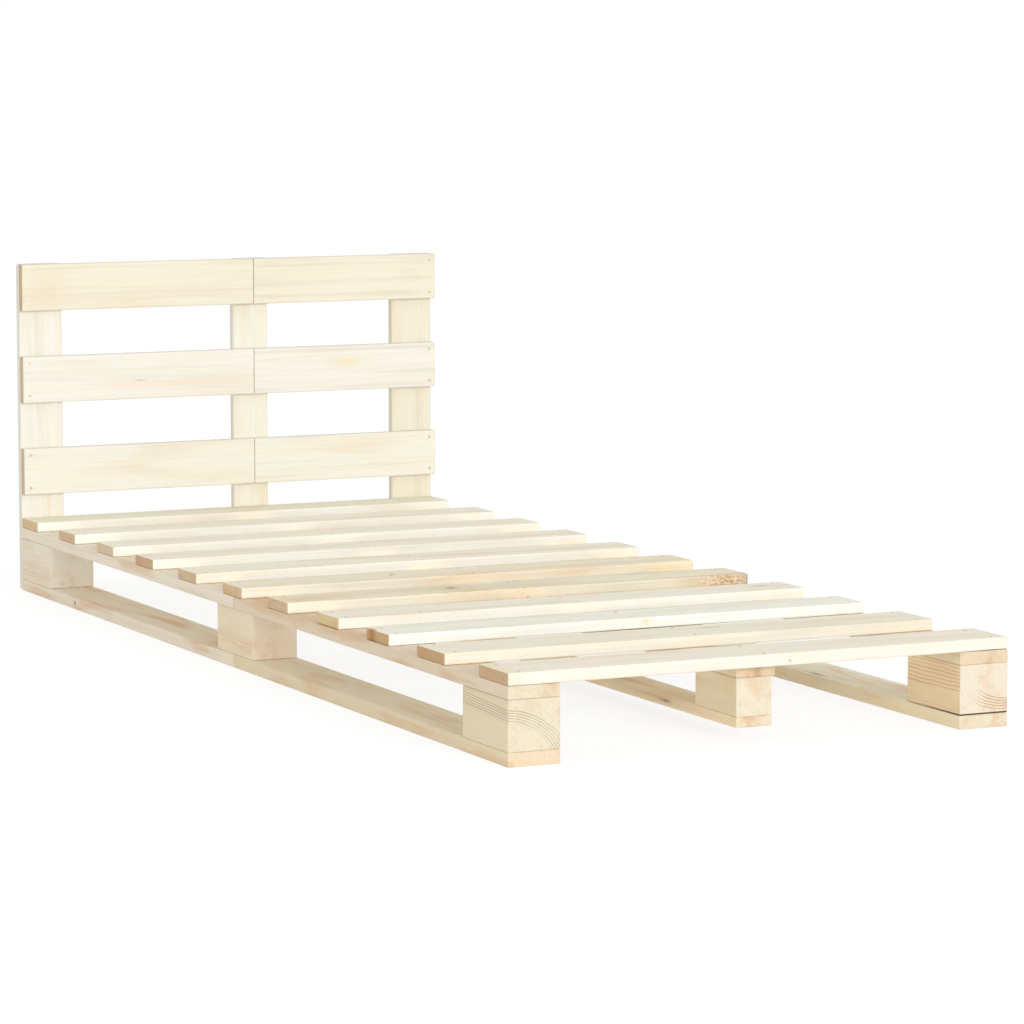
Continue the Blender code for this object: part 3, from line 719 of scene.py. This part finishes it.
# What is known of single boards: marks that the photograph shows, and their colours
# Painted light here: the face tones, the end tones of the blocks and runners, and the lighter tones of the
# right and centre runners and the right foot block lighten faces that the deck shades and darken faces that
# the front lamp lights strongly
CUT_CHANGES = {
    "slat_01": {"end_tone": END_TONES["khaki"], "face_painted_light": (0.95, 0.93, 0.83)},
    "slat_04": {"end_tone": END_TONES["russet"]},
    "slat_05": {"end_tone": END_TONES["hazel"]},
    "slat_06": {
        "tone": TONES["honey"], "end_tone": END_TONES["tan"], "rings": 0.52,
        "knots": (Knot(-0.121, 0.006, 0.0035, 0.8),
                  flame(-0.006, 0.0, 0.90, 0.015, 0.060),
                  flame(0.083, 0.002, 0.90, 0.015, 0.050),
                  flame(0.240, 0.0, 0.60, 0.012, 0.060)),
        "stains": (Stain(0.03, 0.0, 0.12, 0.010, "amber", 0.12, on_edge=True),
                   Stain(0.182, 0.003, 0.05, 0.010, "blush", 0.40, on_edge=True),
                   Stain(0.345, 0.0, 0.07, 0.010, "warm", 0.70, on_edge=True),
                   Stain(0.340, -0.003, 0.05, 0.006, "olive", 0.20, on_edge=True, broken=0.5)),
    },
    "slat_07": {
        "tone": TONES["honey"], "end_tone": END_TONES["fawn"], "rings": 0.60,
        "knots": (Knot(-0.103, 0.010, 0.0042, 0.75, 0.006, 0.045),
                  flame(-0.120, 0.001, 1.0, 0.019, 0.050),
                  flame(-0.030, -0.002, 0.9, 0.014, 0.050),
                  Knot(0.226, -0.017, 0.002, 0.6),
                  Knot(0.007, -0.006, 0.0010, 0.6, 0.001, 0.010, on_edge=True)),
        "stains": (Stain(-0.100, -0.030, 0.07, 0.012, "warm", 0.5),
                   Stain(-0.06, 0.0, 0.10, 0.010, "amber", 0.22, on_edge=True),
                   Stain(-0.090, 0.010, 0.080, 0.030, "heart", 0.16),
                   Stain(-0.100, 0.008, 0.012, 0.012, "heart", 0.45),
                   Stain(-0.080, -0.030, 0.030, 0.008, "heart", 0.30),
                   Stain(0.030, 0.0, 0.070, 0.030, "rust", 0.16),
                   Stain(0.160, 0.0, 0.080, 0.012, "olive", 0.22, on_edge=True),
                   Stain(0.295, 0.0, 0.022, 0.012, "olive", 0.30, on_edge=True),
                   Stain(0.360, 0.0, 0.046, 0.014, "amber", 0.40, on_edge=True, broken=0.4),
                   Stain(0.364, 0.0, 0.043, 0.014, "heart", 0.80, on_edge=True, broken=0.85),
                   Stain(0.402, 0.0, 0.011, 0.020, "rim", 0.60, on_edge=True),
                   # Painted shadow: a dark line on the top's back edge, standing for the shaded gap between
                   # this slat and slat_06
                   Stain(0.237, 0.040, 0.034, 0.0040, "shade", 0.85)),
    },
    "slat_08": {
        "end_tone": END_TONES["camel"],
        "knots": (Knot(-0.032, -0.016, 0.0015, 0.6), Knot(-0.259, -0.026, 0.0015, 0.6)),
        "stains": (Stain(0.343, 0.009, 0.016, 0.0035, "shade", 0.6),),
    },
    "slat_09": {
        "tone": TONES["chalk"], "end_tone": END_TONES["bark"],
        "knots": (Knot(0.003, 0.023, 0.002, 0.6),),
        "stains": (Stain(0.021, 0.002, 0.008, 0.006, "amber", 0.35, on_edge=True, broken=0.6),
                   Stain(-0.396, 0.020, 0.003, 0.012, "rust", 0.9)),
        # Painted shade along the lower edge, where the gap under this slat shows dark
        "seam_shades": (SeamShade(0.060, 0.130, 0.0014, 0.9),),
    },
    # slat_10 and slat_11: darker tones with lighter face tones, painted light that keeps their fronts, which
    # the front lamp lights strongly, darker than their tops
    "slat_10": {
        "tone": TONES["ecru"], "face_painted_light": (1.07, 1.07, 1.03), "end_tone": END_TONES["russet"],
        "knots": (Knot(0.074, 0.023, 0.002, 0.6),),
        "stains": (Stain(0.055, 0.018, 0.018, 0.006, "olive", 0.6),),
    },
    "slat_11": {
        "tone": TONES["shell"], "face_painted_light": (1.13, 1.13, 1.07), "end_tone": END_TONES["hazel"],
        "knots": (Knot(0.034, -0.012, 0.002, 0.5), Knot(0.015, -0.003, 0.0015, 0.5),
                  Knot(0.040, -0.002, 0.0015, 0.4, 0.002, 0.02, on_edge=True)),
        "stains": (Stain(-0.388, 0.0, 0.014, 0.060, "warm", 0.8),
                   Stain(-0.320, 0.020, 0.110, 0.007, "olive", 0.16),
                   Stain(-0.200, -0.015, 0.120, 0.006, "olive", 0.12)),
        # Painted shade along the lower edge, where the gap under this slat shows dark
        "seam_shades": (SeamShade(0.372, 0.030, 0.0014, 0.9),),
    },
    "rail_top_left": {
        "tone": TONES["linen"],
        "stains": (Stain(-0.175, 0.0, 0.035, 0.030, "amber", 0.14),),
    },
    "rail_top_right": {"tone": TONES["linen"]},
    "rail_low_left": {"tone": TONES["straw"]},
    "rail_low_right": {"tone": TONES["straw"]},
    "rail_middle_left": {"stains": (Stain(0.0, -0.008, 0.010, 0.001, "rust", 0.5),)},
    "rail_middle_right": {"stains": (Stain(0.0, 0.010, 0.035, 0.010, "warm", 0.9),)},
    "post_centre": {"tone": TONES["straw"]},
    "post_left": {
        "tone": TONES["ivory"],
        # Painted highlight: a pale strip near the post's left edge
        "stains": (Stain(0.0, -0.034, 0.6, 0.009, "pale", 0.8),),
    },
    "top_runner_left_foot": {"tone": TONES["rosy"], "end_tone": (0.885, 0.935, 0.925)},
    "top_runner_left_head": {"tone": TONES["sand"]},
    "top_runner_centre_foot": {"stains": (Stain(-0.482, 0.003, 0.006, 0.007, "rust", 0.45),)},
    # The bottom runners' face tones are painted light that lightens their tops where the deck shades them,
    # and their end tones are painted shade on foot ends that the front lamp lights
    "bottom_runner_left_foot": {
        "tone": TONES["biscuit"], "coolness": 0.1, "blotches": 0.35,
        "face_painted_light": (1.20, 1.28, 1.45), "end_tone": (0.895, 0.865, 0.895),
    },
    "bottom_runner_right_foot": {
        "tone": TONES["wheat"], "face_painted_light": (1.04, 1.19, 1.42), "end_tone": (0.73, 0.745, 0.79),
        "stains": (Stain(-0.068, -0.03, 0.022, 0.0030, "rim", 0.8),),
    },
    "bottom_runner_left_head": {
        "tone": TONES["sand"], "coolness": 0.2, "face_painted_light": (1.13, 1.15, 1.17),
        "knots": (Knot(0.229, 0.001, 0.003, 0.7, 0.003, 0.030, on_edge=True),),
    },
    "bottom_runner_centre_foot": {
        "tone": TONES["ginger"], "end_tone": (0.77, 0.81, 0.89),
        "stains": (Stain(-0.266, 0.001, 0.016, 0.0022, "rim", 1.0, on_edge=True, broken=0.5),
                   Stain(-0.200, 0.003, 0.060, 0.0050, "rust", 0.25, on_edge=True)),
    },
    # The blocks' end tones are painted light: lighter on the foot faces of the middle and head blocks, which
    # lie in shade under the deck, and darker on the foot blocks' fronts, which the front lamp lights
    # strongly
    "block_centre_foot": {"rings": 0.14, "end_tone": (0.855, 0.915, 1.035)},
    "block_left_foot": {
        "tone": TONES["biscuit"], "pith": (-0.040, -0.0665), "lean": (0.0, 0.075),
        "spacing": 0.0041, "rings": 0.85, "band": (0.075, 0.095), "line": "shade", "line_start": 0.50,
    },
    "block_left_middle": {
        "tone": TONES["shrimp"], "end_tone": (1.15, 1.15, 1.29),
        "stripes": (Stripes(-0.034, 0.034, 0.0036, 0.30),),
    },
    "block_left_head": {"tone": TONES["sand"], "end_tone": END_TONES["bright"]},
    "block_right_foot": {
        "tone": TONES["amber"], "end_tone": (0.78, 0.87, 1.04), "pith": (0.030, 0.034), "lean": (0.0, 0.0),
        "spacing": 0.0040, "rings": 1.0, "band": (0.051, 0.068), "rings_below": -0.014, "line": "rust",
        "line_start": 0.55,
        "stripes": (Stripes(-0.002, 0.033, 0.0056, 0.70), Stripes(-0.030, -0.012, 0.0040, 0.25)),
        # Painted shade along the lower edge, where the block stands off the runner under it
        "seam_shades": (SeamShade(-0.074, 0.120, 0.0030, 1.0),),
    },
}


def nodes_of(kind):
    """The names of the frame's nodes of one kind, in order."""
    names = sorted(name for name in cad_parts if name.startswith(kind))
    if not names:
        raise RuntimeError(f"the frame has no node of the kind {kind}")
    return names


def finish_boards(context, kind):
    """Give every board of a kind its own pine."""
    look = context.scene.pallet_bed_pine
    for node in nodes_of(kind):
        cut = random_cut(node, look)._replace(**CUT_CHANGES.get(node, {}))
        start = random.Random(node + "_start").uniform(*START_RANGE)
        dress(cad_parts[node], Board(node, cut, look, start).make())


def dress(item, material):
    """Give an object one material."""
    if not item.material_slots:
        item.data.materials.append(material)
    for slot in item.material_slots:
        slot.material = material


# Zinc: size of its clouds in metres, what they change, and its roughness
CLOUD_SPAN = 0.004
CLOUD_SHADE = 0.12
CLOUD_ROUGHNESS = 0.10
ZINC_ROUGHNESS = 0.34


def zinc_steel(name, colour):
    """Zinc-plated steel, slightly cloudy."""
    finish = Finish(name)
    cloud = finish.noise(*(place / CLOUD_SPAN for place in finish.coordinates()))
    finish.shade(Base_Color=finish.tint(colour, 1 + cloud * CLOUD_SHADE), Metallic=1.0,
                 Roughness=ZINC_ROUGHNESS + cloud * CLOUD_ROUGHNESS)
    return finish.material


# Pieces that are modelled here

# A face whose normal's height is less than this looks down
DOWNWARD = -0.9

# Widths of a screw's tip and of a slot's floor, as shares of the shank's and of the slot's
TIP_TAPER = 0.1
SLOT_TAPER = 0.55

# Edges that turn by less than this are smooth
SMOOTH_ANGLE = math.radians(35)


def select_only(item):
    """Make one object the only selected one."""
    bpy.ops.object.select_all(action="DESELECT")
    item.select_set(True)
    bpy.context.view_layer.objects.active = item


def edit_bottom(mesh):
    """Open the active mesh for editing, with only the faces that look down selected."""
    bpy.ops.object.mode_set(mode="EDIT")
    bpy.ops.mesh.select_mode(type="FACE")
    bpy.ops.mesh.select_all(action="DESELECT")
    bpy.ops.object.mode_set(mode="OBJECT")
    for face in mesh.polygons:
        face.select = face.normal.z < DOWNWARD
    bpy.ops.object.mode_set(mode="EDIT")


def model_screw(sizes, shank_length):
    """A countersunk screw whose head's face is at the origin and whose point is below."""
    bpy.ops.object.select_all(action="DESELECT")
    place = (0, 0, -sizes.head_height / 2)
    bpy.ops.mesh.primitive_cylinder_add(vertices=sizes.sides, radius=sizes.head_radius,
                                        depth=sizes.head_height, location=place)
    screw = bpy.context.object
    bpy.ops.object.transform_apply(location=True, rotation=True, scale=True)
    edit_bottom(screw.data)
    taper = sizes.shank_radius / sizes.head_radius
    bpy.ops.transform.resize(value=(taper, taper, 1))
    for length in (shank_length, sizes.point_length):
        bpy.ops.mesh.extrude_region_move(TRANSFORM_OT_translate={"value": (0, 0, -length)})
    bpy.ops.transform.resize(value=(TIP_TAPER, TIP_TAPER, 1))
    bpy.ops.object.mode_set(mode="OBJECT")
    for turn in (0, math.pi / 2):
        cut_slot(screw, sizes, turn)
    select_only(screw)
    bpy.ops.object.shade_smooth_by_angle(angle=SMOOTH_ANGLE)
    return screw


def cut_slot(screw, sizes, turn):
    """Cut one slot of the cross, narrower towards its floor."""
    bpy.ops.object.select_all(action="DESELECT")
    spans = (sizes.recess_length, sizes.recess_width, 2 * sizes.recess_depth)
    bpy.ops.mesh.primitive_cube_add(size=1, scale=spans)
    slot = bpy.context.object
    slot.rotation_euler.z = turn
    bpy.ops.object.transform_apply(location=True, rotation=True, scale=True)
    edit_bottom(slot.data)
    bpy.ops.transform.resize(value=(SLOT_TAPER, SLOT_TAPER, 1))
    bpy.ops.object.mode_set(mode="OBJECT")
    select_only(screw)
    cut = screw.modifiers.new("slot", "BOOLEAN")
    cut.operation = "DIFFERENCE"
    cut.solver = "EXACT"
    cut.object = slot
    bpy.ops.object.modifier_apply(modifier=cut.name)
    bpy.data.objects.remove(slot)


class Spot(NamedTuple):
    """Where a screw's head lies, the way it faces, and the length of its shank."""
    place: tuple
    facing: tuple
    shank_length: float


def set_screws(context, name, spots, colour):
    """Copy a screw of the right length to each spot, join the copies and give them their finish."""
    sizes = context.scene.pallet_bed_screws
    patterns = {}
    dice = random.Random(name)
    copies = []
    for spot in spots:
        if spot.shank_length not in patterns:
            patterns[spot.shank_length] = model_screw(sizes, spot.shank_length)
        pattern = patterns[spot.shank_length]
        copy = pattern.copy()
        copy.data = pattern.data.copy()
        context.scene.collection.objects.link(copy)
        turn = Vector(spot.facing).to_track_quat("Z", "Y").to_matrix().to_4x4()
        spin = Matrix.Rotation(dice.uniform(0, math.pi), 4, "Z")
        sink = Matrix.Translation((0, 0, -sizes.sunk))
        copy.data.transform(Matrix.Translation(spot.place) @ turn @ sink @ spin)
        copies.append(copy)
    for pattern in patterns.values():
        bpy.data.objects.remove(pattern)
    select_only(copies[0])
    for copy in copies:
        copy.select_set(True)
    bpy.ops.object.join()
    group = bpy.context.object
    group.name = name
    dress(group, zinc_steel(name + "_zinc", colour))
    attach(group, BODY)


def slat_screw_spots(sizes):
    """Two screws wherever a slat crosses a run, and a short one where the run starts behind the screw."""
    left, centre, right = (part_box(f"top_runner_{side}_foot") for side in ("left", "centre", "right"))
    across = (left[0].x + sizes.slat_inset, (centre[0].x + centre[1].x) / 2, right[1].x - sizes.slat_inset)
    for node in nodes_of("slat"):
        low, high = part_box(node)
        for x, run in zip(across, (left, centre, right)):
            for y in (low.y + sizes.edge_inset, high.y - sizes.edge_inset):
                shank_length = sizes.shank_length if y > run[0].y else sizes.short_length
                yield Spot((x, y, high.z), (0, 0, 1), shank_length)


def rail_screw_spots(sizes):
    """Two screws from the front at each rail's outer end, and two from behind through the centre post."""
    post_low, post_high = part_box("post_centre")
    middle, quarter = (post_low.x + post_high.x) / 2, (post_high.x - post_low.x) / 4
    for node in nodes_of("rail"):
        low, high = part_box(node)
        left = node.endswith("left")
        outer = low.x + sizes.rail_inset if left else high.x - sizes.rail_inset
        inner = middle - quarter if left else middle + quarter
        for z in (low.z + sizes.rail_inset, high.z - sizes.rail_inset):
            yield Spot((outer, low.y, z), (0, -1, 0), sizes.shank_length)
            yield Spot((inner, post_high.y, z), (0, 1, 0), sizes.shank_length)


def runner_screw_spots(sizes):
    """Four screws from below in each bottom board, two at each block."""
    for node in nodes_of("bottom"):
        low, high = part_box(node)
        side, half = node.split("_")[2:]
        quarter = (high.x - low.x) / 4
        end_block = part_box(f"block_{side}_{half}")
        middle_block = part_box(f"block_{side}_middle")
        inner = [max(low.y, middle_block[0].y), min(high.y, middle_block[1].y)]
        for y in ((end_block[0].y + end_block[1].y) / 2, sum(inner) / 2):
            for x in (low.x + quarter, high.x - quarter):
                yield Spot((x, y, low.z), (0, 0, -1), sizes.shank_length)


# Operators, one for each piece or group of like pieces

class BoardOperator(bpy.types.Operator):
    """Finish the boards of one kind"""
    bl_options = {"REGISTER", "UNDO"}
    kind = ""

    def execute(self, context):
        finish_boards(context, self.kind)
        return {"FINISHED"}


class PALLET_BED_OT_slats(BoardOperator):
    """Give each slat its own pine"""
    bl_idname = "pallet_bed.slats"
    bl_label = "Slats"
    kind = "slat"


class PALLET_BED_OT_rails(BoardOperator):
    """Give each headboard rail its own pine"""
    bl_idname = "pallet_bed.rails"
    bl_label = "Headboard rails"
    kind = "rail"


class PALLET_BED_OT_posts(BoardOperator):
    """Give each headboard post its own pine"""
    bl_idname = "pallet_bed.posts"
    bl_label = "Headboard posts"
    kind = "post"


class PALLET_BED_OT_top_runners(BoardOperator):
    """Give each top runner its own pine"""
    bl_idname = "pallet_bed.top_runners"
    bl_label = "Top runners"
    kind = "top"


class PALLET_BED_OT_bottom_runners(BoardOperator):
    """Give each bottom runner its own pine"""
    bl_idname = "pallet_bed.bottom_runners"
    bl_label = "Bottom runners"
    kind = "bottom"


class PALLET_BED_OT_blocks(BoardOperator):
    """Give each block its own pine"""
    bl_idname = "pallet_bed.blocks"
    bl_label = "Blocks"
    kind = "block"


class PALLET_BED_OT_bolts(bpy.types.Operator):
    """Give the headboard bolts their plated steel"""
    bl_idname = "pallet_bed.bolts"
    bl_label = "Headboard bolts"

    def execute(self, context):
        steel = zinc_steel("bolt_zinc", context.scene.pallet_bed_steel.bolt)
        for node in nodes_of("bolt"):
            dress(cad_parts[node], steel)
        return {"FINISHED"}


class PALLET_BED_OT_slat_screws(bpy.types.Operator):
    """Set the countersunk screws of the slats"""
    bl_idname = "pallet_bed.slat_screws"
    bl_label = "Slat screws"

    def execute(self, context):
        spots = slat_screw_spots(context.scene.pallet_bed_screws)
        set_screws(context, "slat_screws", spots, context.scene.pallet_bed_steel.dull)
        return {"FINISHED"}


class PALLET_BED_OT_rail_screws(bpy.types.Operator):
    """Set the countersunk screws of the headboard rails"""
    bl_idname = "pallet_bed.rail_screws"
    bl_label = "Rail screws"

    def execute(self, context):
        spots = rail_screw_spots(context.scene.pallet_bed_screws)
        set_screws(context, "rail_screws", spots, context.scene.pallet_bed_steel.clear)
        return {"FINISHED"}


class PALLET_BED_OT_runner_screws(bpy.types.Operator):
    """Set the countersunk screws under the bottom runners"""
    bl_idname = "pallet_bed.runner_screws"
    bl_label = "Runner screws"

    def execute(self, context):
        spots = runner_screw_spots(context.scene.pallet_bed_screws)
        set_screws(context, "runner_screws", spots, context.scene.pallet_bed_steel.dull)
        return {"FINISHED"}


class PALLET_BED_OT_stage(bpy.types.Operator):
    """Lay the floor, light the bed and set the camera"""
    bl_idname = "pallet_bed.stage"
    bl_label = "Stage"

    def execute(self, context):
        look = context.scene.pallet_bed_stage
        lay_floor(look)
        light(context.scene, look)
        set_camera(context.scene, look)
        context.scene.view_settings.view_transform = "Standard"
        return {"FINISHED"}


# Sizes and places of the stage, in metres, and the width of the camera's sensor, in millimetres
FLOOR_SPAN = 400.0
FLOOR_DEPTH = 0.0005
CAMERA_PLACE = (-2.9242, -6.2837, 1.0401)
CAMERA_TURN = (math.radians(83.291), 0, math.radians(-25.628))
LAMP_AIM = (0, 0, 0.1)
FRONT_LAMP_PLACE = (1.8, -17.7, 4.0)
FRONT_LAMP_SPAN = (7.2, 3.6)
LOW_LAMP_PLACE = (-6.5, -6.0, 0.40)
LOW_LAMP_SPAN = (5.0, 0.7)
SENSOR_WIDTH = 36
WHITE = (1.0, 1.0, 1.0)


def lay_floor(look):
    """A pale floor that shows white, with a share of the bed's shadow."""
    bpy.ops.object.select_all(action="DESELECT")
    bpy.ops.mesh.primitive_plane_add(size=FLOOR_SPAN, location=(0, 0, -FLOOR_DEPTH))
    floor = bpy.context.object
    floor.name = "floor"
    bpy.ops.object.transform_apply(location=True, rotation=True, scale=True)
    finish = Finish("floor_paper")
    seen = finish.seen_by_eye()
    # Rays from the eye, and those that metal or glass sends on, meet a floor that gives back a full white
    # where the sky alone lights it
    bright = tuple(share / look.sky for share in WHITE)
    paper = finish.node("ShaderNodeBsdfDiffuse", {}, {"Color": finish.blend(seen, look.floor, bright)})
    white = finish.node("ShaderNodeEmission", {}, {"Strength": 1.0})
    share = seen * (1 - look.shadow)
    mixed = finish.node("ShaderNodeMixShader", {}, {0: share, 1: paper, 2: white})
    output = finish.tree.nodes["Material Output"]
    finish.tree.links.new(mixed.socket, output.inputs["Surface"])
    finish.tree.nodes.remove(finish.shader)
    dress(floor, finish.material)


def light(scene, look):
    """An even white sky, shown as plain white, and two soft lamps."""
    world = bpy.data.worlds.new("studio")
    world.use_nodes = True
    scene.world = world
    nodes = Nodes(world.node_tree)
    sky = nodes.tree.nodes["Background"]
    nodes.feed(sky.inputs["Color"], full(WHITE))
    shares = {"Factor_Float": nodes.seen_by_eye(), "A_Float": look.sky, "B_Float": 1.0}
    nodes.feed(sky.inputs["Strength"], nodes.node("ShaderNodeMix", {}, shares, "Result_Float"))
    set_lamp("front_lamp", FRONT_LAMP_PLACE, FRONT_LAMP_SPAN, look.lamp)
    set_lamp("low_lamp", LOW_LAMP_PLACE, LOW_LAMP_SPAN, look.fill)


def set_lamp(name, place, span, power):
    """A soft lamp, aimed at the bed."""
    bpy.ops.object.light_add(type="AREA", location=place)
    lamp = bpy.context.object
    lamp.name = name
    lamp.data.shape = "RECTANGLE"
    lamp.data.size, lamp.data.size_y = span
    lamp.data.energy = power
    lamp.rotation_euler = (Vector(LAMP_AIM) - Vector(place)).to_track_quat("-Z", "Y").to_euler()


def set_camera(scene, look):
    """A long lens from the foot end's left, a little above the deck."""
    bpy.ops.object.camera_add(location=CAMERA_PLACE, rotation=CAMERA_TURN)
    camera = bpy.context.object
    camera.name = "camera"
    camera.data.sensor_width = SENSOR_WIDTH
    camera.data.lens = look.lens
    camera.data.clip_end = 2 * FLOOR_SPAN
    scene.camera = camera


OPERATORS = (
    PALLET_BED_OT_slats,
    PALLET_BED_OT_rails,
    PALLET_BED_OT_posts,
    PALLET_BED_OT_top_runners,
    PALLET_BED_OT_bottom_runners,
    PALLET_BED_OT_blocks,
    PALLET_BED_OT_bolts,
    PALLET_BED_OT_slat_screws,
    PALLET_BED_OT_rail_screws,
    PALLET_BED_OT_runner_screws,
    PALLET_BED_OT_stage,
)


class PALLET_BED_PT_panel(bpy.types.Panel):
    """Steps that dress the bed"""
    bl_label = "Pallet bed"
    bl_space_type = "VIEW_3D"
    bl_region_type = "UI"
    bl_category = "Pallet bed"

    def draw(self, context):
        for group in GROUPS:
            box = self.layout.box()
            values = getattr(context.scene, group)
            for name in values.__annotations__:
                box.prop(values, name)
        for operator in OPERATORS:
            self.layout.operator(operator.bl_idname)


GROUPS = {
    "pallet_bed_pine": PineLook,
    "pallet_bed_screws": ScrewSizes,
    "pallet_bed_steel": SteelLook,
    "pallet_bed_stage": StageLook,
}
CLASSES = (*GROUPS.values(), *OPERATORS, PALLET_BED_PT_panel)


def register():
    for item in CLASSES:
        bpy.utils.register_class(item)
    for name, group in GROUPS.items():
        setattr(bpy.types.Scene, name, PointerProperty(type=group))


def unregister():
    for name in GROUPS:
        delattr(bpy.types.Scene, name)
    for item in reversed(CLASSES):
        bpy.utils.unregister_class(item)


def main():
    register()
    for operator in OPERATORS:
        name = operator.bl_idname.split(".")[1]
        getattr(bpy.ops.pallet_bed, name)()


if __name__ == "__main__":
    main()
